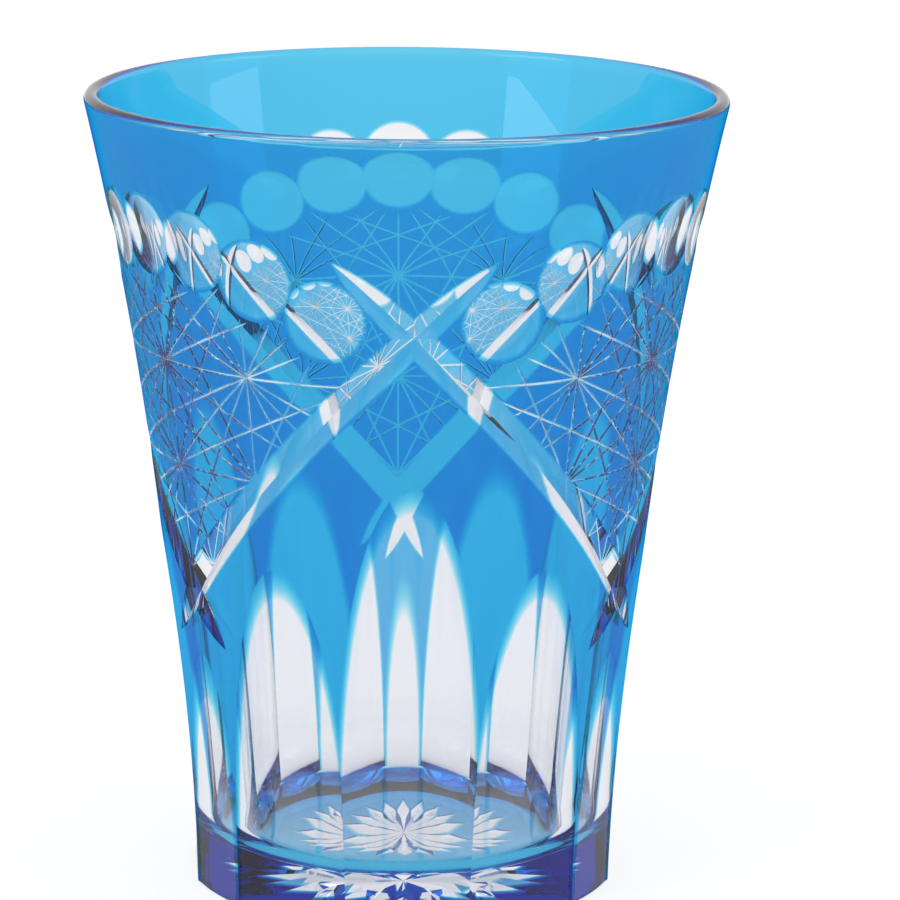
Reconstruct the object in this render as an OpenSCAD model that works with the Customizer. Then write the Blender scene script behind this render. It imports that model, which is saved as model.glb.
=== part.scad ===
// Cut crystal vase: clear crystal under a thin blue overlay, cut through in a three-fold pattern.
// Millimetres, +Z up, origin at the middle of the underside, -Y is the front.

/* [Body] */
// Height of the vase
height = 187; // [150:1:230]
// Diameter that the side flares to at the top, before the rim is rounded
rim_d = 150; // [126:1:180]
// Outside diameter at the foot
foot_d = 103.2; // [88:1:122]
// How far the side bows inward of a straight line from foot to rim
side_bow = 4.8; // [3:0.1:7]
// Wall thickness at the rim
rim_wall = 3.7; // [3.3:0.1:4.5]
// Wall thickness where it is thinnest, below the rim
thin_wall = 2.7; // [2.6:0.1:3.2]
// Height over which the wall swells again to the rim
rim_swell = 25; // [15:1:30]
// Wall thickness where the bowl starts to close
low_wall = 6; // [5.5:0.1:9]
// Thickness of the solid foot under the bowl
foot_thick = 8.5; // [7:0.5:16]
// Height above the bowl floor at which the bowl starts to close
bowl_rise = 13; // [10:1:30]
// Ground chamfer round the foot
foot_bevel = 1.2; // [0.8:0.1:2]

/* [Blue overlay] */
// Overlay thickness at the rim
overlay_rim = 0.3; // [0.25:0.05:0.6]
// Overlay thickness at the foot
overlay_foot = 0.5; // [0.35:0.05:0.8]
// Overlay thickness on the underside
overlay_base = 0.6; // [0.4:0.1:1.2]

/* [Mitre cuts] */
// Height of each mitre crossing in the middle of a front
cross_z = 141.5; // [132:0.5:150]
// Height of the low crossings between two fronts
low_cross_z = 75; // [66:0.5:84]
// How far each mitre runs past the high crossing, degrees
top_run = 16; // [12:0.5:18]
// How far each mitre runs past the low crossing, degrees
low_run = 11; // [6:0.5:14]
// Depth of a mitre cut
mitre_depth = 1.9; // [1.4:0.1:2.3]
// Half the angle of the mitre wheel's edge
mitre_half_angle = 65; // [58:1:70]

/* [Printies] */
// Diameter of a round printie cut
printie_d = 19.4; // [16:0.1:20]
// Depth of a printie cut
printie_depth = 1.5; // [1.2:0.1:2]
// Pitch of the printies round the vase, degrees
printie_step = 14.25; // [13.5:0.25:15]
// Height of the printie in the middle of an arch
printie_z = 159.5; // [152:0.5:164]
// How steeply the arch of printies falls, millimetres per square degree
printie_fall = 0.008; // [0.006:0.0001:0.009]

/* [Flutes] */
// Height of the flute under each high crossing
tall_flute_h = 106.6; // [96:0.2:112]
// Height of the flutes on both sides of it
mid_flute_h = 85; // [74:1:92]
// Height of the flute under each low crossing
short_flute_h = 60; // [50:1:66]
// Half the width of a tall flute at the foot, degrees
tall_flute_half = 17.9; // [16:0.1:19]
// Half the width of a middle flute at the foot, degrees
mid_flute_half = 17.9; // [16:0.1:19]
// Half the width of a short flute at the foot, degrees
short_flute_half = 12.2; // [10:0.1:13]
// How far a middle flute stands past midway from the tall one to the short one, degrees
mid_flute_shift = 2; // [0:0.5:4]
// Radius of the wheel that cuts the flutes
flute_wheel_r = 540; // [450:10:800]

/* [Foot star] */
// Diameter of the star cut into the underside
star_d = 54; // [36:1:66]
// Number of rays
star_rays = 18; // [12:1:24]
// Distance from the middle to the notches between the rays
star_notch_r = 18.5; // [10:0.5:22]
// Depth of a ray halfway along it
star_depth = 2.2; // [1.6:0.1:3]
// Depth of the star at its middle
star_mid_depth = 1.4; // [1:0.1:2]

/* [Hidden] */
$fn = 96;

fronts = 3;
front_angle = 360 / fronts;
half_front = front_angle / 2;
rim_r = rim_d / 2;
foot_r = foot_d / 2;
over = 1;
big = 3 * rim_d;

// The side is one arc through foot and rim, bowed inward by side_bow.
function chord(r0, r1) = norm([r1 - r0, height]);
function bow_radius(r0, r1, bow) = pow(chord(r0, r1), 2) / (8 * bow) + bow / 2;
function bow_centre(r0, r1, bow) =
    [(r0 + r1) / 2, height / 2]
    + (bow_radius(r0, r1, bow) - bow) * [height, r0 - r1] / chord(r0, r1);

outer_arc = bow_centre(foot_r, rim_r, side_bow);
outer_arc_r = bow_radius(foot_r, rim_r, side_bow);
core_arc = bow_centre(foot_r - overlay_foot, rim_r - overlay_rim, side_bow);
core_arc_r = bow_radius(foot_r - overlay_foot, rim_r - overlay_rim, side_bow);

// Outside radius and slope of the side at height z
function side_r(z) = outer_arc[0] - sqrt(pow(outer_arc_r, 2) - pow(z - outer_arc[1], 2));
function side_tilt(z) = asin((z - outer_arc[1]) / outer_arc_r);

// The bowl: the wall thins from low_wall to thin_wall, swells to rim_wall, and a superellipse
// closes the floor.
bowl_steps = 12;
wall_steps = 12;
bowl_top = foot_thick + bowl_rise;
bowl_power = 3.5;
thin_z = height - rim_swell;
function wall_at(z) =
    z < thin_z
    ? low_wall + (thin_wall - low_wall) * pow((z - bowl_top) / (thin_z - bowl_top), 0.8)
    : thin_wall + (rim_wall - thin_wall) * pow((z - thin_z) / rim_swell, 2);
function bowl_r(z) = side_r(z) - wall_at(z);
bowl_floor_points = [for (i = [0 : bowl_steps])
    let (a = 90 * i / bowl_steps)
    [bowl_r(bowl_top) * pow(sin(a), 2 / bowl_power),
     bowl_top - bowl_rise * pow(cos(a), 2 / bowl_power)]];
bowl_wall_points = [for (i = [1 : wall_steps])
    let (z = bowl_top + (height - bowl_top) * i / wall_steps)
    [bowl_r(z), z]];

// The rim is one full round, as wide as the wall
rim_tilt = side_tilt(height);
rim_round = rim_wall * cos(rim_tilt) / 2;
rim_z = height - rim_round;
rim_mid = [side_r(rim_z - rim_round * sin(rim_tilt)) - rim_round * cos(rim_tilt), rim_z];

// The solid inside one arc of the side, up to the rim, as a stack of short cones
side_steps = 10;
side_facets = 180;
function arc_at(arc, arc_r, z) = [arc[0] - sqrt(pow(arc_r, 2) - pow(z - arc[1], 2)), z];
function arc_points(arc, arc_r) =
    [for (i = [0 : side_steps]) arc_at(arc, arc_r, height * i / side_steps)];
module side_blank(arc, arc_r, bottom) {
    rotate_extrude($fn = side_facets)
        intersection() {
            polygon(concat([[0, -over], [arc_at(arc, arc_r, 0)[0], -over]],
                           arc_points(arc, arc_r), [[0, height]]));
            translate([0, bottom])
                square([rim_r, height - bottom]);
        }
}

// What the round leaves off the top edge of the wall
module rim_rounding() {
    rotate_extrude()
        translate(rim_mid)
            rotate(-rim_tilt)
                difference() {
                    translate([-rim_wall, 0])
                        square([2 * rim_wall, 2 * rim_wall]);
                    circle(r = rim_round);
                }
}

// The ground bevel round the foot
module foot_bevelling() {
    rotate_extrude()
        polygon([[foot_r - foot_bevel - over, -over],
                 [foot_r + over, foot_bevel + over],
                 [foot_r + over, -over]]);
}

module bowl() {
    rotate_extrude()
        polygon(concat(bowl_floor_points, bowl_wall_points,
                       [[bowl_r(height), height + over], [0, height + over]]));
}

// A flute: a flat facet that a large wheel leaves, deepest at the foot and running out at apex_z
function facet_r(half) = foot_r * cos(half);
function flute_mid(half, apex_z) = [(facet_r(half) + side_r(apex_z)) / 2, apex_z / 2];
function flute_span(half, apex_z) = [side_r(apex_z) - facet_r(half), apex_z];
function flute_wheel(half, apex_z) =
    let (span = flute_span(half, apex_z), len = norm(span))
    flute_mid(half, apex_z)
    + sqrt(pow(flute_wheel_r, 2) - pow(len / 2, 2)) * [span[1], -span[0]] / len;

// The wheel's arc in short straight steps, carried past the apex until it is clear of the side
flute_steps = 10;
flute_run_out = 14;
function flute_points(wheel, top) =
    [for (i = [0 : flute_steps])
        let (z = -over + (top + over) * i / flute_steps)
        arc_at(wheel, flute_wheel_r, z)];

module flute(angle, half, apex_z) {
    top = apex_z + flute_run_out;
    rotate([90, 0, angle - 90])
        linear_extrude(height = foot_d, center = true)
            polygon(concat([[rim_r, top], [rim_r, -over]],
                           flute_points(flute_wheel(half, apex_z), top)));
}

mid_flute_turn = half_front / 2 + mid_flute_shift;
module flutes() {
    for (front = [0 : fronts - 1])
        rotate([0, 0, front * front_angle]) {
            flute(0, tall_flute_half, tall_flute_h);
            flute(-mid_flute_turn, mid_flute_half, mid_flute_h);
            flute(mid_flute_turn, mid_flute_half, mid_flute_h);
            flute(half_front, short_flute_half, short_flute_h);
        }
}

// A printie: a lens with a round outline, from a wheel whose rim is a ring torus
printie_crown = pow(printie_d / 2, 2) / (2 * printie_depth);
module printie(angle, z) {
    wheel_r = printie_crown / (1 - printie_crown / side_r(z));
    rotate([0, 0, angle])
        translate([0, -side_r(z), z])
            rotate([side_tilt(z), 0, 0])
                translate([0, printie_depth - wheel_r, 0])
                    rotate_extrude()
                        intersection() {
                            translate([wheel_r - printie_crown, 0])
                                circle(r = printie_crown);
                            translate([wheel_r - 2 * printie_depth - over, -printie_d])
                                square([wheel_r, 2 * printie_d]);
                        }
}

function arch_z(offset) = printie_z - printie_fall * offset * offset;
module printies() {
    for (front = [0 : fronts - 1])
        for (i = [-3 : 3])
            printie(half_front + front * front_angle + i * printie_step, arch_z(i * printie_step));
}

// A mitre: a V-shaped blade swept along its own line on the side, lifting out at both ends
mitre_steps = 14;
mitre_fullness = 8;
mitre_turn = top_run + half_front + low_run;
mitre_rise = (cross_z - low_cross_z) / half_front;
function mitre_z(a) = cross_z - mitre_rise * a;
function mitre_cut(t) = mitre_depth * (1 - pow(abs(2 * t - 1), mitre_fullness));
function on_side(a, r, z) = [r * sin(a), -r * cos(a), z];
function mitre_dir(a) =
    let (r = side_r(mitre_z(a)), t = [r * PI / 180, -mitre_rise])
    t / norm(t);
function mitre_ring(t) =
    let (a = -top_run + mitre_turn * t,
         z = mitre_z(a),
         r = side_r(z),
         half_w = (mitre_cut(t) + over) * tan(mitre_half_angle),
         along = mitre_dir(a),
         turn = half_w * -along[1] / r * 180 / PI,
         climb = half_w * along[0],
         tilt = tan(side_tilt(z)))
    [on_side(a, r - mitre_cut(t), z),
     on_side(a + turn, (r + over) / cos(turn) + climb * tilt, z + climb),
     on_side(a - turn, (r + over) / cos(turn) - climb * tilt, z - climb)];
mitre_points = [for (i = [0 : mitre_steps]) each mitre_ring(i / mitre_steps)];
mitre_faces = concat(
    [[0, 1, 2]],
    [for (i = [0 : mitre_steps - 1], k = [0 : 2])
        [3 * i + k, 3 * i + 3 + k, 3 * i + (k + 1) % 3]],
    [for (i = [0 : mitre_steps - 1], k = [0 : 2])
        [3 * i + (k + 1) % 3, 3 * i + 3 + k, 3 * i + 3 + (k + 1) % 3]],
    [[3 * mitre_steps + 2, 3 * mitre_steps + 1, 3 * mitre_steps]]);

module mitre() {
    polyhedron(mitre_points, mitre_faces, convexity = 10);
}

module mitres_right() {
    for (front = [0 : fronts - 1])
        rotate([0, 0, front * front_angle])
            mitre();
}

module mitres_left() {
    mirror([1, 0, 0])
        mitres_right();
}

// The star under the foot: V cuts as leaves from the middle outward, merging inside the notches
ray_turn = 360 / star_rays;
function star_at(r, a, z) = [r * sin(a), r * cos(a), z];
function star_ray(i) =
    let (a = i * ray_turn, notch_a = a + ray_turn / 2)
    [star_at(star_d / 2, a, -over),
     star_at(star_notch_r, notch_a, -over),
     star_at(star_d / 2, a, 0),
     star_at(star_notch_r, notch_a, 0),
     star_at(star_d / 4, a, star_depth)];
star_points = concat([for (i = [0 : star_rays - 1]) each star_ray(i)],
                     [[0, 0, star_mid_depth]]);
star_middle = 5 * star_rays;
function star_ray_faces(i) =
    let (p = 5 * i, n = 5 * ((i + 1) % star_rays))
    [[p, p + 3, p + 2], [p, p + 1, p + 3],
     [p + 1, n + 2, p + 3], [p + 1, n, n + 2],
     [p + 2, p + 3, p + 4], [p + 3, n + 2, n + 4],
     [p + 4, p + 3, star_middle], [p + 3, n + 4, star_middle]];
star_faces = concat(
    [[for (i = [star_rays - 1 : -1 : 0]) each [5 * i + 1, 5 * i]]],
    [for (i = [0 : star_rays - 1]) each star_ray_faces(i)]);
module foot_star() {
    polyhedron(star_points, star_faces);
}

// The cuts go in one family after another
module cut_side() {
    difference() {
        difference() {
            difference() {
                difference() {
                    children();
                    flutes();
                    rim_rounding();
                    foot_bevelling();
                }
                mitres_right();
            }
            mitres_left();
        }
        printies();
    }
}

module overlay_shell() {
    difference() {
        side_blank(outer_arc, outer_arc_r, overlay_base);
        side_blank(core_arc, core_arc_r, overlay_base - over);
    }
}

// The field of one star panel, seen from outside along -Y: mitres below and up to field_corner
// past the high crossings, printie centres above. Its whole edge runs along cuts.
field_steps = 6;
field_corner = 0.6 * printie_step;
function flat(a, z) = [side_r(z) * sin(a), z];
function field_right() = [for (i = [0 : field_steps])
    let (a = half_front * i / field_steps)
    flat(half_front - a, mitre_z(a))];
function field_top() = [for (i = [-3 : 3]) flat(-i * printie_step, arch_z(i * printie_step))];
corner_point = flat(half_front - field_corner, mitre_z(-field_corner));
field_points = concat(
    [corner_point],
    [for (p = field_right()) p],
    [for (i = [field_steps - 1 : -1 : 0]) let (p = field_right()[i]) [-p[0], p[1]]],
    [[-corner_point[0], corner_point[1]]],
    [for (i = [6 : -1 : 0]) field_top()[i]]);

module panel_field(angle) {
    rotate([0, 0, angle])
        rotate([90, 0, 0])
            linear_extrude(height = rim_d)
                polygon(field_points);
}

module panel_fields() {
    for (front = [0 : fronts - 1])
        panel_field(half_front + front * front_angle);
}

module crystal_body() {
    color("aliceblue")
        difference() {
            cut_side()
                difference() {
                    side_blank(core_arc, core_arc_r, overlay_base);
                    bowl();
                }
            foot_star();
        }
}

module blue_rim_band() {
    color("deepskyblue")
        cut_side()
            difference() {
                overlay_shell();
                panel_fields();
                cylinder(r = big, h = cross_z);
            }
}

module star_panel(angle) {
    cut_side()
        intersection() {
            overlay_shell();
            panel_field(angle);
        }
}

module blue_star_panel_right() { color("dodgerblue") star_panel(half_front); }
module blue_star_panel_left() { color("dodgerblue") star_panel(-half_front); }
module blue_star_panel_back() { color("dodgerblue") star_panel(180); }

module blue_flame_band() {
    color("deepskyblue")
        cut_side()
            difference() {
                intersection() {
                    overlay_shell();
                    cylinder(r = big, h = cross_z);
                }
                panel_fields();
            }
}

module blue_foot_disc() {
    color("royalblue")
        difference() {
            side_blank(outer_arc, outer_arc_r, 0);
            translate([0, 0, overlay_base])
                cylinder(r = big, h = height);
            flutes();
            foot_bevelling();
            foot_star();
        }
}

crystal_body();
blue_rim_band();
blue_star_panel_left();
blue_star_panel_right();
blue_star_panel_back();
blue_flame_band();
blue_foot_disc();
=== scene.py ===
"""Cut crystal vase: clear crystal under a thin blue overlay, cut through in a three-fold pattern.

The glass is built as real solids. The body is one closed piece of glass with every cut in it, and
each blue field is a thin closed shell that stands a hair proud of it, so light is refracted by the
body and coloured by the length of its path through the blue. Sizes in the builders are millimetres.
"""
import math

import bpy
import numpy as np
from mathutils import Matrix, Vector


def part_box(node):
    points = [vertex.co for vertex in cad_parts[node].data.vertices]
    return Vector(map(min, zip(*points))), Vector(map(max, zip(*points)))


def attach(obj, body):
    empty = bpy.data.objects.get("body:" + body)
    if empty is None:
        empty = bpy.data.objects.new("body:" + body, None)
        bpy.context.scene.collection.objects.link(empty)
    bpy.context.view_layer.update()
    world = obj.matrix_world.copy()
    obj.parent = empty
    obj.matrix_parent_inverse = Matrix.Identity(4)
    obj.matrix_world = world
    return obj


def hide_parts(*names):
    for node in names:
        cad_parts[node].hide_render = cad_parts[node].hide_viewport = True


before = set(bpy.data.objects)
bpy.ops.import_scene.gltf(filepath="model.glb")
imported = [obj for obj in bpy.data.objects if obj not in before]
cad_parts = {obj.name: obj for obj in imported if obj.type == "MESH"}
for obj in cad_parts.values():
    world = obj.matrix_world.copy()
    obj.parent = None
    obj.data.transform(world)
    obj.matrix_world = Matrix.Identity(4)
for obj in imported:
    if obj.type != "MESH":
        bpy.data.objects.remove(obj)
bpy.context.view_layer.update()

MM = 0.001

# ---------------------------------------------------------------- sizes
# the body, its height and the underside's overlay taken from the frame
_, foot_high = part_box("blue_foot_disc")
_, body_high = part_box("crystal_body")
HEIGHT = body_high[2] / MM
FOOT_R = 51.6
RIM_R = 75.0
SIDE_BOW = 4.8
RIM_WALL = 3.7
THIN_WALL = 2.7
WALL_TAPER = 0.8        # power by which the wall thins upward
RIM_SWELL = 25.0
SWELL_POWER = 2         # power by which it swells to the rim
LOW_WALL = 6.0
FOOT_THICK = 8.5
BOWL_RISE = 13.0
BOWL_POWER = 3.5
FOOT_BEVEL = 1.2
OVERLAY_RIM = 0.3
OVERLAY_FOOT = 0.5
OVERLAY_BASE = foot_high[2] / MM
PROUD = 0.03            # how far the blue stands out of the clear body

FRONTS = 3
FRONT = 360 / FRONTS
HALF = FRONT / 2
FRONT_ANGLES = [front * FRONT for front in range(FRONTS)]
CROSS_Z = 141.5
LOW_CROSS_Z = 75.0
TOP_RUN = 16.0
LOW_RUN = 11.0
MITRE_DEPTH = 1.9
MITRE_HALF_ANGLE = 65.0
MITRE_FULLNESS = 8
MITRE_LIFT = 1.0        # how far a mitre's blade stands out of the side
PRINTIE_D = 19.4
PRINTIE_DEPTH = 1.5
PRINTIE_STEP = 14.25
PRINTIE_Z = 159.5
PRINTIE_FALL = 0.008
PRINTIE_REACH = 13.2    # radius of the lens that cuts a printie
PRINTIE_BACK = 9        # height of the cone behind the lens
PRINTIES = range(-3, 4)
# angle from the front, half width at the foot in degrees, height
FLUTES = ((0, 17.9, 106.6), (-32, 17.9, 85.0), (32, 17.9, 85.0), (60, 12.2, 60.0))
FLUTE_FAMILIES = ((0, 3), (1, 2))
FLUTE_WHEEL_R = 540.0
FLUTE_SLAB_HALF_W = 17.0
FLUTE_SLAB_R = 76.0
FLUTE_BELOW = -2.0
FLUTE_RUN_OUT = 14.0
STAR_R = 27.0
STAR_NOTCH_R = 18.5
STAR_RAYS = 18
STAR_DEPTH = 2.2
STAR_MID_DEPTH = 1.4
STAR_BELOW = -1
PANELS = (("star_panel_right", HALF), ("star_panel_left", -HALF), ("star_panel_back", 180))
FIELD_CORNER = 0.6 * PRINTIE_STEP    # how far a panel's corner runs past the high crossing, degrees
FIELD_GAP = 0.02        # how far a panel's top edge stays below the band's
FIELD_DEPTHS = (12, 85)
PANEL_HALF = 50         # no star line goes further from the panel's middle, degrees
PANEL_LOW_Z, PANEL_HIGH_Z = 60, 175
LATTICE_TOP_Z, LATTICE_BOTTOM_Z = 130.0, 81.0
LATTICE_STEP = 24.6
LATTICE_DIRECTIONS = ((1, 0), (0, 1), (1, 1), (1, -1), (2, 1), (2, -1), (1, 2), (1, -2))
LINE_HALF_W = 0.35
LINE_DEPTH = 0.22       # groove in the crystal
LINE_THROUGH = 0.78     # how deep the same line opens the blue
LINE_LIFT = 0.3
LINE_MARGIN = 0.4       # how far a line stops short of a mitre or a printie
LINE_REACH = 4          # cells of the lattice that a line is followed each way
LINE_SAMPLES = 100      # samples in a cell
LINE_SHORTEST = 12      # shortest line kept, in samples
LINE_STEP = 2.5
LINE_FEWEST_STEPS = 6
LINE_END_SHARE = 0.25   # share of the depth at a line's end
LINE_FADE = 4           # length over which it would reach full depth from nothing
CRISP_ANGLE = 11

# how finely each curve is drawn
AROUND = 384
SIDE_STEPS = 72
RIM_STEPS = 28
RIM_SHELL_STEPS = 40
BOWL_WALL_STEPS = 64
BOWL_FLOOR_STEPS = 40
FLUTE_STEPS = 72
MITRE_STEPS = 96
PRINTIE_RINGS = 14
PRINTIE_SPOKES = 44
FIELD_STEPS = 12
ON_AXIS = 1e-6

# face tags, one per kind of surface, so that edges between kinds stay crisp
SIDE, RIM, BOWL, FOOT, FLUTE, PRINTIE, FLANK_A, FLANK_B, LINE_A, LINE_B, STAR, INNER = range(12)


# ---------------------------------------------------------------- the side of the vase
class Arc:
    """The side as one arc through foot and rim, bowed inward."""

    def __init__(self, r0, r1):
        chord = math.hypot(r1 - r0, HEIGHT)
        self.radius = chord ** 2 / (8 * SIDE_BOW) + SIDE_BOW / 2
        out = (self.radius - SIDE_BOW) / chord
        self.cr = (r0 + r1) / 2 + out * HEIGHT
        self.cz = HEIGHT / 2 - out * (r1 - r0)

    def r(self, z):
        return self.cr - math.sqrt(self.radius ** 2 - (z - self.cz) ** 2)

    def tilt(self, z):
        return math.asin((z - self.cz) / self.radius)


OUTER = Arc(FOOT_R, RIM_R)
CORE = Arc(FOOT_R - OVERLAY_FOOT, RIM_R - OVERLAY_RIM)


def on_side(angle, r, z):
    """A point at an angle from the front, in degrees."""
    a = math.radians(angle)
    return (r * math.sin(a), -r * math.cos(a), z)


def turned(x, r, z, turn):
    """A point x to the side of the direction at turn, in radians, and r out along it."""
    return (x * math.cos(turn) + r * math.sin(turn), x * math.sin(turn) - r * math.cos(turn), z)


def new_object(name, verts, faces, tags):
    mesh = bpy.data.meshes.new(name)
    mesh.from_pydata([tuple(v) for v in verts], [], [tuple(f) for f in faces])
    kind = mesh.attributes.new("kind", "INT", "FACE")
    kind.data.foreach_set("value", np.array(tags, dtype=np.int32))
    obj = bpy.data.objects.new(name, mesh)
    bpy.context.scene.collection.objects.link(obj)
    return obj


def lathe(name, profile, kinds):
    """Turns a closed outline of (r, z) points, given foot to rim on the outside, into a solid."""
    verts, faces, tags, rings = [], [], [], []
    angles = [360 * i / AROUND for i in range(AROUND)]
    for r, z in profile:
        if r < ON_AXIS:
            rings.append([len(verts)])
            verts.append((0, 0, z))
        else:
            rings.append(list(range(len(verts), len(verts) + AROUND)))
            verts += [on_side(a, r, z) for a in angles]
    for k in range(len(profile)):
        lower, upper = rings[k], rings[(k + 1) % len(profile)]
        if len(lower) == 1 and len(upper) == 1:
            continue
        for i in range(AROUND):
            j = (i + 1) % AROUND
            if len(lower) == 1:
                faces.append((lower[0], upper[j], upper[i]))
            elif len(upper) == 1:
                faces.append((lower[i], lower[j], upper[0]))
            else:
                faces.append((lower[i], lower[j], upper[j], upper[i]))
            tags.append(kinds[k])
    return new_object(name, verts, faces, tags)


def wall_at(z):
    """Wall thickness: thinning up from the bowl, swelling again to the rim."""
    top, thin = FOOT_THICK + BOWL_RISE, HEIGHT - RIM_SWELL
    if z < thin:
        risen = max(z - top, 0) / (thin - top)
        return LOW_WALL + (THIN_WALL - LOW_WALL) * risen ** WALL_TAPER
    return THIN_WALL + (RIM_WALL - THIN_WALL) * ((z - thin) / RIM_SWELL) ** SWELL_POWER


def rim_circle():
    """Radius, middle and tilt of the full round at the rim."""
    tilt = OUTER.tilt(HEIGHT)
    radius = RIM_WALL * math.cos(tilt) / 2
    z = HEIGHT - radius
    r = OUTER.r(z - radius * math.sin(tilt)) - radius * math.cos(tilt)
    return radius, r, z, tilt


def side_points(arc, low, high, shift):
    heights = [low + (high - low) * i / SIDE_STEPS for i in range(SIDE_STEPS + 1)]
    return [(arc.r(z) + shift, z) for z in heights]


def body_profile(inset):
    """The whole vessel: foot, side, rim round, bowl."""
    radius, mid_r, mid_z, tilt = rim_circle()
    rim_low = mid_z - radius * math.sin(tilt)
    side = side_points(OUTER, FOOT_BEVEL, rim_low, -inset)
    points = [(0, inset), (FOOT_R - FOOT_BEVEL - inset, inset)] + side
    kinds = [FOOT, FOOT] + [SIDE] * (len(side) - 1)
    round_r = radius - inset
    for i in range(1, RIM_STEPS + 1):
        a = -tilt + math.pi * i / RIM_STEPS
        points.append((mid_r + round_r * math.cos(a), mid_z + round_r * math.sin(a)))
    kinds += [RIM] * RIM_STEPS
    top = FOOT_THICK + BOWL_RISE
    rim_in_z = points[-1][1]
    for i in range(1, BOWL_WALL_STEPS + 1):
        z = rim_in_z + (top - rim_in_z) * i / BOWL_WALL_STEPS
        points.append((OUTER.r(z) - wall_at(z), z))
    base_r = OUTER.r(top) - LOW_WALL
    for i in range(1, BOWL_FLOOR_STEPS + 1):
        a = math.pi / 2 * (1 - i / BOWL_FLOOR_STEPS)
        r = base_r * math.sin(a) ** (2 / BOWL_POWER) if i < BOWL_FLOOR_STEPS else 0
        points.append((r, top - BOWL_RISE * math.cos(a) ** (2 / BOWL_POWER)))
    kinds += [BOWL] * (BOWL_WALL_STEPS + BOWL_FLOOR_STEPS + 1)
    return points, kinds


def shell_profile():
    """The blue overlay on the side, from the foot up into the rim round."""
    radius, mid_r, mid_z, tilt = rim_circle()
    rim_low = mid_z - radius * math.sin(tilt)
    outside = side_points(OUTER, OVERLAY_BASE + PROUD, rim_low, 0)
    top = []
    for i in range(1, RIM_SHELL_STEPS):
        a = -tilt + math.pi * i / RIM_SHELL_STEPS
        r, z = mid_r + radius * math.cos(a), mid_z + radius * math.sin(a)
        if r <= CORE.r(z):
            break
        top.append((r, z))
    inside = side_points(CORE, OVERLAY_BASE + PROUD, top[-1][1], 0)[::-1]
    points = outside + top + inside[1:]
    kinds = [SIDE] * (len(outside) - 1) + [RIM] * len(top)
    kinds += [INNER] * (len(inside) - 1) + [FOOT]
    return points, kinds


# ---------------------------------------------------------------- the cutters
def flute_cutter(angle, half, apex, inset):
    """A slab whose inner face is the arc that a large wheel leaves."""
    facet = FOOT_R * math.cos(math.radians(half)) - inset
    top_r = OUTER.r(apex) - inset
    span = (top_r - facet, apex)
    length = math.hypot(*span)
    reach = math.sqrt(FLUTE_WHEEL_R ** 2 - (length / 2) ** 2) / length
    wheel = ((facet + top_r) / 2 + reach * span[1], apex / 2 - reach * span[0])
    low, high = FLUTE_BELOW, apex + FLUTE_RUN_OUT
    profile = []
    for i in range(FLUTE_STEPS + 1):
        z = low + (high - low) * i / FLUTE_STEPS
        profile.append((wheel[0] - math.sqrt(FLUTE_WHEEL_R ** 2 - (z - wheel[1]) ** 2), z))
    profile += [(FLUTE_SLAB_R, high), (FLUTE_SLAB_R, low)]
    faces, tags = [], []
    turn = math.radians(angle)
    verts = [turned(x, r, z, turn)
             for x in (-FLUTE_SLAB_HALF_W, FLUTE_SLAB_HALF_W) for r, z in profile]
    n = len(profile)
    for i in range(n):
        j = (i + 1) % n
        faces.append((i, j, n + j, n + i))
        tags.append(FLUTE)
    faces.append(tuple(range(n - 1, -1, -1)))
    faces.append(tuple(range(n, 2 * n)))
    tags += [FLUTE, FLUTE]
    return verts, faces, tags


def printie_cutter(angle, z, inset):
    """A lens: the crowned rim of a wheel, where it bites into the side."""
    crown = (PRINTIE_D / 2) ** 2 / (2 * PRINTIE_DEPTH)
    wheel = crown / (1 - crown / OUTER.r(z))
    depth = PRINTIE_DEPTH + inset
    n = PRINTIE_SPOKES
    turn, tilt = math.radians(angle), OUTER.tilt(z)
    verts, faces, tags = [], [], []

    def place(x, y, v):
        """x round the vase, y inward from the blank's surface, v up along it."""
        y2 = y * math.cos(tilt) - v * math.sin(tilt)
        v2 = y * math.sin(tilt) + v * math.cos(tilt)
        return turned(x, OUTER.r(z) - y2, z + v2, turn)

    verts.append(place(0, depth, 0))
    for k in range(1, PRINTIE_RINGS + 1):
        rho = PRINTIE_REACH * k / PRINTIE_RINGS
        for i in range(n):
            a = 2 * math.pi * i / n
            x, v = rho * math.cos(a), rho * math.sin(a)
            crowned = crown - math.sqrt(crown ** 2 - v ** 2)
            wheel_here = wheel - crowned
            y = depth - crowned - wheel_here + math.sqrt(wheel_here ** 2 - x ** 2)
            verts.append(place(x, y, v))
    top = len(verts)
    outer_ring = 1 + (PRINTIE_RINGS - 1) * n
    verts.append(place(0, depth - PRINTIE_BACK, 0))
    for i in range(n):
        j = (i + 1) % n
        faces.append((0, 1 + i, 1 + j))
        for k in range(PRINTIE_RINGS - 1):
            a, b = 1 + k * n, 1 + (k + 1) * n
            faces.append((a + i, b + i, b + j, a + j))
        faces.append((top, outer_ring + j, outer_ring + i))
        tags += [PRINTIE] * (PRINTIE_RINGS + 1)
    return verts, faces, tags


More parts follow.
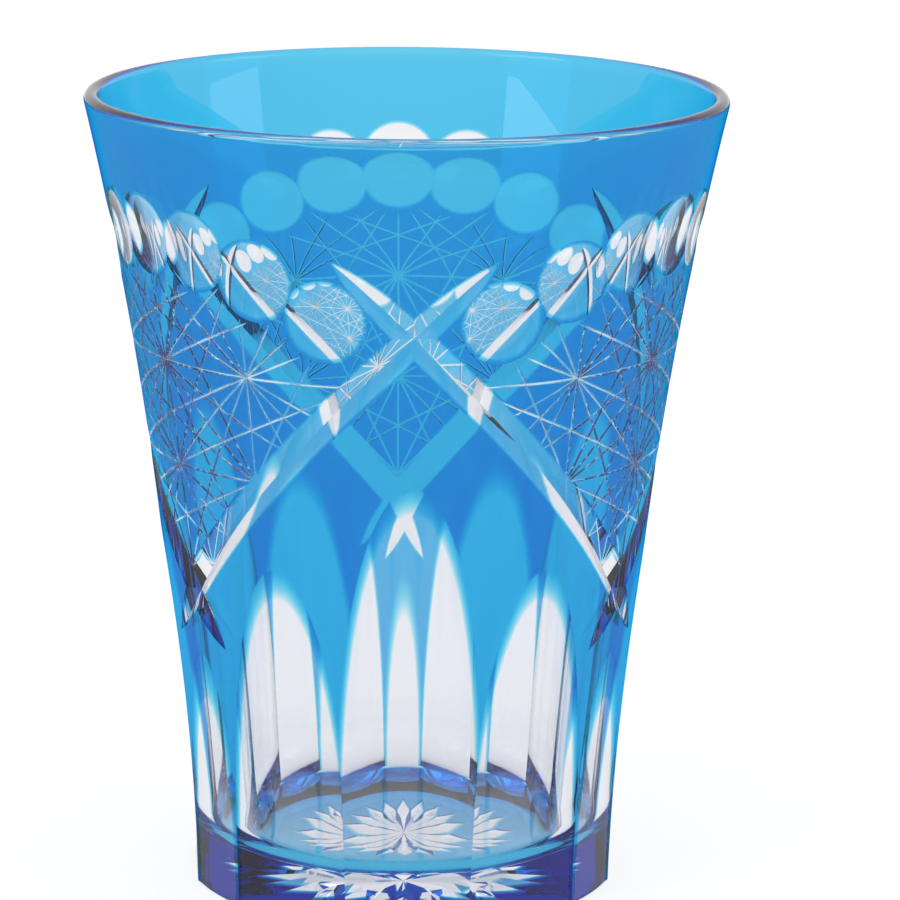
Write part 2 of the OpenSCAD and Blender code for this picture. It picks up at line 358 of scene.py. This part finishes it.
def blade(path, depths, half_angle, tags_pair, lift, inset):
    """A V-shaped blade along a path of (angle, z) on the side, one depth for each point of it."""
    verts, faces, tags = [], [], []
    count = len(path)
    slope = math.tan(math.radians(half_angle))
    for k in range(count):
        angle, z = path[k]
        before, after = path[max(k - 1, 0)], path[min(k + 1, count - 1)]
        r = OUTER.r(z)
        along = np.array([math.radians(after[0] - before[0]) * r, after[1] - before[1]])
        along /= np.linalg.norm(along)
        depth = depths[k] + inset
        half_w = (depth + lift) * slope
        turn = half_w * -along[1] / r
        climb = half_w * along[0]
        rise = math.tan(OUTER.tilt(z)) * climb
        out = (r + lift) / math.cos(turn)
        verts.append(on_side(angle, r - depth, z))
        for s in (1, -1):
            verts.append(on_side(angle + s * math.degrees(turn), out + s * rise, z + s * climb))
    for k in range(count - 1):
        a, b = 3 * k, 3 * k + 3
        faces += [(a, b, b + 1, a + 1), (a + 2, b + 2, b, a), (a + 1, b + 1, b + 2, a + 2)]
        tags += [tags_pair[0], tags_pair[1], tags_pair[0]]
    last = 3 * (count - 1)
    faces += [(0, 1, 2), (last + 2, last + 1, last)]
    tags += [tags_pair[0], tags_pair[0]]
    return verts, faces, tags


def mitre_z(angle):
    """Height of a mitre's middle, angle degrees past its high crossing."""
    return CROSS_Z - (CROSS_Z - LOW_CROSS_Z) / HALF * angle


def mitre_cutter(front, lean, inset):
    path, depths = [], []
    for i in range(MITRE_STEPS + 1):
        t = i / MITRE_STEPS
        a = -TOP_RUN + (TOP_RUN + HALF + LOW_RUN) * t
        path.append((front + lean * a, mitre_z(a)))
        depths.append(MITRE_DEPTH * (1 - abs(2 * t - 1) ** MITRE_FULLNESS))
    return blade(path, depths, MITRE_HALF_ANGLE, (FLANK_A, FLANK_B), MITRE_LIFT, inset)


def arch_z(offset):
    return PRINTIE_Z - PRINTIE_FALL * offset ** 2


def in_panel(offset, z, margin):
    """Whether a point is inside a star panel, clear of the mitres and the printies by margin."""
    r = OUTER.r(z)
    mm = math.radians(1) * r
    rise = (CROSS_Z - LOW_CROSS_Z) / HALF / mm
    gap = (z - mitre_z(HALF - abs(offset))) / math.hypot(1, rise)
    if gap < margin:
        return False
    for i in PRINTIES:
        step = i * PRINTIE_STEP
        if math.hypot((offset - step) * mm, z - arch_z(step)) < PRINTIE_D / 2 + margin:
            return False
    return z < arch_z(offset)


def star_lines():
    """The lines of one panel in (offset, z), by direction: every line through the star centres."""
    rise = (LATTICE_TOP_Z - LATTICE_BOTTOM_Z) / 2
    reach = LINE_REACH * LINE_SAMPLES
    centres = [(i, j) for j in range(3) for i in (-1, 0, 1) if not (j == 2 and i)]
    families = {}
    for du, dv in LATTICE_DIRECTIONS:
        seen = {}
        for i, j in centres:
            seen.setdefault(du * j - dv * i, (i, j))
        lines = []
        for i, j in seen.values():
            run = []
            for k in range(-reach, reach + 1):
                t = k / LINE_SAMPLES
                u, z = (i + du * t) * LATTICE_STEP, LATTICE_TOP_Z - (j + dv * t) * rise
                near = abs(u) < PANEL_HALF and PANEL_LOW_Z < z < PANEL_HIGH_Z
                inside = near and in_panel(u, z, LINE_MARGIN)
                if inside:
                    run.append((u, z))
                if (not inside or k == reach) and run:
                    if len(run) > LINE_SHORTEST:
                        lines.append(run)
                    run = []
        families[(du, dv)] = lines
    return families


def line_cutters(family, inset, panels, deepest):
    """Blades for one direction of star lines, on the panels at these angles."""
    out = []
    for panel in panels:
        for run in family:
            mm = math.radians(1) * OUTER.r(run[0][1])
            length = math.hypot((run[-1][0] - run[0][0]) * mm, run[-1][1] - run[0][1])
            steps = max(LINE_FEWEST_STEPS, int(length / LINE_STEP))
            path, depths = [], []
            for i in range(steps + 1):
                p = run[round(i * (len(run) - 1) / steps)]
                path.append((panel + p[0], p[1]))
                ends = min(i, steps - i) / steps * length
                depths.append(deepest * min(1, LINE_END_SHARE + ends / LINE_FADE))
            angle = math.degrees(math.atan2(LINE_HALF_W, deepest))
            out.append(blade(path, depths, angle, (LINE_A, LINE_B), LINE_LIFT, inset))
    return out


def star_cutter(inset):
    """The star under the foot."""
    turn = 360 / STAR_RAYS
    verts, faces, tags = [], [], []
    for i in range(STAR_RAYS):
        a, b = i * turn, (i + 0.5) * turn
        verts += [on_side(a, STAR_R, STAR_BELOW), on_side(b, STAR_NOTCH_R, STAR_BELOW),
                  on_side(a, STAR_R, inset), on_side(b, STAR_NOTCH_R, inset),
                  on_side(a, STAR_R / 2, STAR_DEPTH + inset)]
    mid = len(verts)
    verts.append((0, 0, STAR_MID_DEPTH + inset))
    for i in range(STAR_RAYS):
        p, n = 5 * i, 5 * ((i + 1) % STAR_RAYS)
        faces += [(p, p + 1, p + 3, p + 2), (p + 1, n, n + 2, p + 3),
                  (p + 2, p + 3, p + 4), (p + 3, n + 2, n + 4),
                  (p + 4, p + 3, mid), (p + 3, n + 4, mid)]
        tags += [STAR, STAR, STAR, FOOT, STAR, FOOT]
    faces.append(tuple(k for i in range(STAR_RAYS - 1, -1, -1) for k in (5 * i + 1, 5 * i)))
    tags.append(STAR)
    return verts, faces, tags


def joined(name, parts):
    verts, faces, tags = [], [], []
    for v, f, t in parts:
        base = len(verts)
        verts += v
        faces += [tuple(base + k for k in face) for face in f]
        tags += t
    return new_object(name, verts, faces, tags)


def outward(obj):
    """Turns a closed mesh right side out."""
    mesh = obj.data
    mesh.calc_loop_triangles()
    volume = 0.0
    for tri in mesh.loop_triangles:
        a, b, c = (mesh.vertices[k].co for k in tri.vertices)
        volume += a.dot(b.cross(c))
    if volume < 0:
        mesh.flip_normals()


def drop(obj):
    mesh = obj.data
    bpy.data.objects.remove(obj)
    bpy.data.meshes.remove(mesh)


def combine(target, tool, operation):
    """One boolean, applied at once."""
    mod = target.modifiers.new("cut", "BOOLEAN")
    mod.operation = operation
    mod.solver = "MANIFOLD"
    mod.object = tool
    graph = bpy.context.evaluated_depsgraph_get()
    mesh = bpy.data.meshes.new_from_object(target.evaluated_get(graph))
    target.modifiers.clear()
    old = target.data
    target.data = mesh
    bpy.data.meshes.remove(old)


def cut(target, parts, operation="DIFFERENCE"):
    tool = joined("tool", parts)
    outward(tool)
    combine(target, tool, operation)
    drop(tool)


def engrave(target, inset, panels, deepest):
    """The star lines of these panels, one direction after another."""
    for family in star_lines().values():
        cut(target, line_cutters(family, inset, panels, deepest))


def cut_flutes(target, inset):
    """The flutes, in families whose cutters don't meet each other."""
    for family in FLUTE_FAMILIES:
        cut(target, [flute_cutter(front + FLUTES[k][0], *FLUTES[k][1:], inset)
                     for front in FRONT_ANGLES for k in family])


def cut_all(target, inset):
    """Every large cut on the side, in families whose cutters don't meet each other."""
    cut_flutes(target, inset)
    for lean in (1, -1):
        cut(target, [mitre_cutter(front, lean, inset) for front in FRONT_ANGLES])
    for every_other in (PRINTIES[::2], PRINTIES[1::2]):
        steps = [i * PRINTIE_STEP for i in every_other]
        cut(target, [printie_cutter(HALF + front + step, arch_z(step), inset)
                     for front in FRONT_ANGLES for step in steps])


def crisp(obj):
    """Smooth shading, with crisp edges where two kinds of surface meet or one turns sharply."""
    mesh = obj.data
    mesh.shade_smooth()
    kinds = [0] * len(mesh.polygons)
    mesh.attributes["kind"].data.foreach_get("value", kinds)
    owners = {}
    for poly in mesh.polygons:
        for key in poly.edge_keys:
            owners.setdefault(key, []).append(poly.index)
    limit = math.cos(math.radians(CRISP_ANGLE))
    sharp = np.zeros(len(mesh.edges), dtype=bool)
    for edge in mesh.edges:
        pair = owners.get(edge.key, ())
        if len(pair) == 2:
            a, b = pair
            turned = mesh.polygons[a].normal.dot(mesh.polygons[b].normal) < limit
            sharp[edge.index] = turned or kinds[a] != kinds[b]
    attr = mesh.attributes.get("sharp_edge")
    attr = attr or mesh.attributes.new("sharp_edge", "BOOLEAN", "EDGE")
    attr.data.foreach_set("value", sharp)


def metres(obj):
    obj.data.transform(Matrix.Scale(MM, 4))
    obj.data.update()


# ---------------------------------------------------------------- camera
CAMERA_BACK = 980.4
CAMERA_UP = 331.1
CAMERA_PITCH = 0.22996
CAMERA_YAW = 0.01094
CAMERA_ROLL = 0.00998
CAMERA_ROUND = math.radians(-1.7)    # the front of the pattern is turned a little to the right
CAMERA_LENS = 170.97
CAMERA_CLIP = (0.01, 50)
SENSOR = 36.0


def make_camera():
    yaw = Vector((math.sin(CAMERA_YAW), math.cos(CAMERA_YAW), 0))
    right = Vector((math.cos(CAMERA_YAW), -math.sin(CAMERA_YAW), 0))
    ahead = yaw * math.cos(CAMERA_PITCH) - Vector((0, 0, math.sin(CAMERA_PITCH)))
    up = yaw * math.sin(CAMERA_PITCH) + Vector((0, 0, math.cos(CAMERA_PITCH)))
    c, s = math.cos(CAMERA_ROLL), math.sin(CAMERA_ROLL)
    right, up = c * right + s * up, c * up - s * right
    data = bpy.data.cameras.new("camera")
    data.lens = CAMERA_LENS
    data.sensor_width = SENSOR
    data.clip_start, data.clip_end = CAMERA_CLIP
    camera = bpy.data.objects.new("camera", data)
    turn = Matrix((right, up, -ahead)).transposed().to_4x4()
    place = Matrix.Translation(Vector((0, -CAMERA_BACK, CAMERA_UP)) * MM) @ turn
    camera.matrix_world = Matrix.Rotation(CAMERA_ROUND, 4, "Z") @ place
    bpy.context.scene.collection.objects.link(camera)
    bpy.context.scene.camera = camera


# ---------------------------------------------------------------- materials
CRYSTAL_COLOUR = (0.94, 0.942, 0.955, 1)
CRYSTAL_IOR = 1.53
POLISHED_RIPPLE = 55        # scale of the slow ripple in polished glass
GROUND_GRAIN = 900          # scale of the grain that the engraving wheel leaves
GRAIN_DETAIL = 3
GRAIN_HEIGHT = 0.0002
HAZE_COLOUR = (0.9, 0.93, 1.0, 1)
CHALK_COLOUR = (0.85, 0.9, 1.0, 1)
CHALK_SHARE = 0.35
POLISHED = {"roughness": 0.0, "bump": 0.02}
ENGRAVED = {"roughness": 0.12, "bump": 0.2, "frost": 0.08}
BLUE_COLOUR = (0.0, 0.806, 0.954, 1)
SIDE_DENSITY = 8800
FOOT_DENSITY = 4200         # less dense than the side, judged by the colour of the bowl's floor
CLEAR = (1, 1, 1, 1)


def new_material(name):
    mat = bpy.data.materials.new(name)
    mat.use_nodes = True
    mat.node_tree.nodes.clear()
    return mat, mat.node_tree.nodes, mat.node_tree.links


def clear_crystal(name, roughness, bump, frost=0.0):
    """Crystal glass; frost is how much of it scatters, on faces left from the engraving wheel."""
    mat, nodes, links = new_material(name)
    out = nodes.new("ShaderNodeOutputMaterial")
    glass = nodes.new("ShaderNodeBsdfGlass")
    glass.inputs["Color"].default_value = CRYSTAL_COLOUR
    glass.inputs["Roughness"].default_value = roughness
    glass.inputs["IOR"].default_value = CRYSTAL_IOR
    coords = nodes.new("ShaderNodeTexCoord")
    noise = nodes.new("ShaderNodeTexNoise")
    noise.inputs["Scale"].default_value = GROUND_GRAIN if roughness else POLISHED_RIPPLE
    noise.inputs["Detail"].default_value = GRAIN_DETAIL
    bumped = nodes.new("ShaderNodeBump")
    bumped.inputs["Strength"].default_value = bump
    bumped.inputs["Distance"].default_value = GRAIN_HEIGHT
    links.new(coords.outputs["Object"], noise.inputs["Vector"])
    links.new(noise.outputs["Fac"], bumped.inputs["Height"])
    links.new(bumped.outputs["Normal"], glass.inputs["Normal"])
    if frost:
        haze = nodes.new("ShaderNodeBsdfTranslucent")
        haze.inputs["Color"].default_value = HAZE_COLOUR
        chalk = nodes.new("ShaderNodeBsdfDiffuse")
        chalk.inputs["Color"].default_value = CHALK_COLOUR
        ground = nodes.new("ShaderNodeMixShader")
        ground.inputs["Fac"].default_value = CHALK_SHARE
        links.new(haze.outputs["BSDF"], ground.inputs[1])
        links.new(chalk.outputs["BSDF"], ground.inputs[2])
        mixed = nodes.new("ShaderNodeMixShader")
        mixed.inputs["Fac"].default_value = frost
        links.new(glass.outputs["BSDF"], mixed.inputs[1])
        links.new(ground.outputs["Shader"], mixed.inputs[2])
        links.new(mixed.outputs["Shader"], out.inputs["Surface"])
    else:
        links.new(glass.outputs["BSDF"], out.inputs["Surface"])
    return mat


def blue_overlay(name, density):
    """Blue glass, coloured by the length of the light's path through it."""
    mat, nodes, links = new_material(name)
    out = nodes.new("ShaderNodeOutputMaterial")
    clear = nodes.new("ShaderNodeBsdfTransparent")
    clear.inputs["Color"].default_value = CLEAR
    dye = nodes.new("ShaderNodeVolumeAbsorption")
    dye.inputs["Color"].default_value = BLUE_COLOUR
    dye.inputs["Density"].default_value = density
    links.new(clear.outputs["BSDF"], out.inputs["Surface"])
    links.new(dye.outputs["Volume"], out.inputs["Volume"])
    return mat


# ---------------------------------------------------------------- pieces
def islands(obj):
    """The separate closed solids of a mesh, as new objects, biggest first."""
    mesh = obj.data
    parent = list(range(len(mesh.vertices)))

    def find(k):
        while parent[k] != k:
            parent[k] = parent[parent[k]]
            k = parent[k]
        return k

    for edge in mesh.edges:
        a, b = find(edge.vertices[0]), find(edge.vertices[1])
        if a != b:
            parent[a] = b
    groups = {}
    for poly in mesh.polygons:
        groups.setdefault(find(poly.vertices[0]), []).append(poly.index)
    kinds = [0] * len(mesh.polygons)
    mesh.attributes["kind"].data.foreach_get("value", kinds)
    out = []
    for members in sorted(groups.values(), key=len, reverse=True):
        index, verts, faces, tags = {}, [], [], []
        for p in members:
            face = []
            for v in mesh.polygons[p].vertices:
                if v not in index:
                    index[v] = len(verts)
                    verts.append(mesh.vertices[v].co.copy())
                face.append(index[v])
            faces.append(face)
            tags.append(kinds[p])
        out.append(new_object("island", verts, faces, tags))
    return out


def top_of(obj):
    return max(v.co.z for v in obj.data.vertices)


def panel_field(front, shrink):
    """A prism over one star panel, seen from outside, through the middles of the cuts round it."""
    outline = []
    for i in range(1, FIELD_STEPS):
        a = HALF * i / FIELD_STEPS
        z = mitre_z(a)
        outline.append((OUTER.r(z) * math.sin(math.radians(HALF - a)), z))
    outline += [(0, LOW_CROSS_Z)]
    outline += [(-x, z) for x, z in reversed(outline[:-1])]
    high = (OUTER.r(CROSS_Z) * math.sin(math.radians(HALF)), CROSS_Z)
    corner_z = mitre_z(-FIELD_CORNER)
    corner = (OUTER.r(corner_z) * math.sin(math.radians(HALF - FIELD_CORNER)), corner_z)
    outline += [(-high[0], high[1]), (-corner[0], corner[1])]
    for i in PRINTIES:
        z = arch_z(i * PRINTIE_STEP)
        outline.append((OUTER.r(z) * math.sin(math.radians(i * PRINTIE_STEP)), z - shrink))
    outline += [corner, high]
    turn = math.radians(front)
    verts = [turned(x, depth, z, turn) for depth in FIELD_DEPTHS for x, z in outline]
    n = len(outline)
    faces = [(i, (i + 1) % n, n + (i + 1) % n, n + i) for i in range(n)]
    faces += [tuple(range(n - 1, -1, -1)), tuple(range(n, 2 * n))]
    return verts, faces, [INNER] * len(faces)


def copy_of(obj, name):
    made = bpy.data.objects.new(name, obj.data.copy())
    bpy.context.scene.collection.objects.link(made)
    return made


def finish_piece(obj, name, node, materials):
    obj.name = name
    obj.data.name = name
    crisp(obj)
    metres(obj)
    obj.data.materials.clear()
    for mat in materials:
        obj.data.materials.append(mat)
    kinds = np.zeros(len(obj.data.polygons), dtype=np.int32)
    obj.data.attributes["kind"].data.foreach_get("value", kinds)
    engraved = np.isin(kinds, (LINE_A, LINE_B)) & (len(materials) > 1)
    obj.data.polygons.foreach_set("material_index", engraved.astype(np.int32))
    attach(obj, "root")
    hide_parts(node)


def make_crystal():
    body = lathe("body", *body_profile(PROUD))
    outward(body)
    engrave(body, PROUD, [front for _, front in PANELS], LINE_DEPTH)
    cut_all(body, PROUD)
    cut(body, [star_cutter(PROUD)])
    polished = clear_crystal("clear_crystal", **POLISHED)
    engraved = clear_crystal("engraved_crystal", **ENGRAVED)
    finish_piece(body, "clear_crystal", "crystal_body", [polished, engraved])


def make_overlay():
    """The blue on the side, which the mitres part into an upper and a lower field."""
    blue = blue_overlay("blue_overlay", SIDE_DENSITY)
    shell = lathe("shell", *shell_profile())
    outward(shell)
    cut_all(shell, 0)
    upper, flame = sorted(islands(shell), key=top_of, reverse=True)
    drop(shell)
    for name, front in PANELS:
        panel = copy_of(upper, name)
        cut(panel, [panel_field(front, FIELD_GAP)], "INTERSECT")
        engrave(panel, 0, [front], LINE_THROUGH)
        finish_piece(panel, name, "blue_" + name, [blue])
    for _, front in PANELS:
        cut(upper, [panel_field(front, 0)])
    finish_piece(upper, "rim_band", "blue_rim_band", [blue])
    finish_piece(flame, "flame_band", "blue_flame_band", [blue])


def make_foot_disc():
    """The blue under the foot, as thick as the overlay there, with the star cut through it."""
    face_r = FOOT_R - FOOT_BEVEL
    edge_r = face_r + OVERLAY_BASE
    outline = [(0, 0), (face_r, 0), (edge_r, OVERLAY_BASE), (0, OVERLAY_BASE)]
    disc = lathe("disc", outline, [FOOT, SIDE, INNER, INNER])
    outward(disc)
    cut_flutes(disc, 0)
    cut(disc, [star_cutter(0)])
    blue = blue_overlay("blue_foot", FOOT_DENSITY)
    finish_piece(disc, "foot_disc", "blue_foot_disc", [blue])


# ---------------------------------------------------------------- stage
FLOOR_R = 9
FLOOR_SIDES = 96
FLOOR_Z = -0.0001
PAPER_COLOUR = (0.35, 0.35, 0.35, 1)
PAPER_GLOW = 0.73
# place on the ramp that runs up the sky, and the colour there
HORIZON = (0.4, (1, 1, 1, 1))
ZENITH = (1.0, (0.6, 0.62, 0.68, 1))
# name, place, width and height, power
SOFTBOXES = (("left_softbox", (-1.3, -0.9, 1.1), (0.9, 1.4), 6),
             ("right_softbox", (1.5, -0.5, 1.0), (0.8, 1.4), 4))
LIGHTS_AIM = (0, 0, 0.1)
BOUNCES = 32
CLEAR_BOUNCES = 96          # a ray passes many blue shells, each with two faces
GLOSSY_BOUNCES = 8


def make_floor():
    bpy.ops.mesh.primitive_circle_add(vertices=FLOOR_SIDES, radius=FLOOR_R, fill_type="NGON",
                                      location=(0, 0, FLOOR_Z))
    floor = bpy.context.object
    floor.name = "floor"
    mat, nodes, links = new_material("floor_paper")
    out = nodes.new("ShaderNodeOutputMaterial")
    paper = nodes.new("ShaderNodeBsdfDiffuse")
    paper.inputs["Color"].default_value = PAPER_COLOUR
    glow = nodes.new("ShaderNodeEmission")
    glow.inputs["Strength"].default_value = PAPER_GLOW
    both = nodes.new("ShaderNodeAddShader")
    links.new(paper.outputs["BSDF"], both.inputs[0])
    links.new(glow.outputs["Emission"], both.inputs[1])
    links.new(both.outputs["Shader"], out.inputs["Surface"])
    floor.data.materials.append(mat)


def make_world():
    world = bpy.data.worlds.new("studio")
    bpy.context.scene.world = world
    world.use_nodes = True
    nodes, links = world.node_tree.nodes, world.node_tree.links
    nodes.clear()
    out = nodes.new("ShaderNodeOutputWorld")
    back = nodes.new("ShaderNodeBackground")
    coords = nodes.new("ShaderNodeTexCoord")
    split = nodes.new("ShaderNodeSeparateXYZ")
    ramp = nodes.new("ShaderNodeValToRGB")
    for stop, (position, colour) in zip(ramp.color_ramp.elements, (HORIZON, ZENITH)):
        stop.position = position
        stop.color = colour
    links.new(coords.outputs["Generated"], split.inputs["Vector"])
    links.new(split.outputs["Z"], ramp.inputs["Fac"])
    links.new(ramp.outputs["Color"], back.inputs["Color"])
    back.inputs["Strength"].default_value = 1.0
    links.new(back.outputs["Background"], out.inputs["Surface"])


def make_light(name, place, size, power):
    data = bpy.data.lights.new(name, "AREA")
    data.shape = "RECTANGLE"
    data.size, data.size_y = size
    data.energy = power
    light = bpy.data.objects.new(name, data)
    light.location = place
    aim = Vector(LIGHTS_AIM) - Vector(place)
    light.rotation_euler = aim.to_track_quat("-Z", "Y").to_euler()
    bpy.context.scene.collection.objects.link(light)


def set_scene():
    scene = bpy.context.scene
    scene.view_settings.view_transform = "Standard"
    scene.view_settings.look = "None"
    scene.cycles.max_bounces = BOUNCES
    scene.cycles.transmission_bounces = BOUNCES
    scene.cycles.transparent_max_bounces = CLEAR_BOUNCES
    scene.cycles.glossy_bounces = GLOSSY_BOUNCES


make_camera()
set_scene()
make_world()
make_floor()
for softbox in SOFTBOXES:
    make_light(*softbox)
make_crystal()
make_overlay()
make_foot_disc()
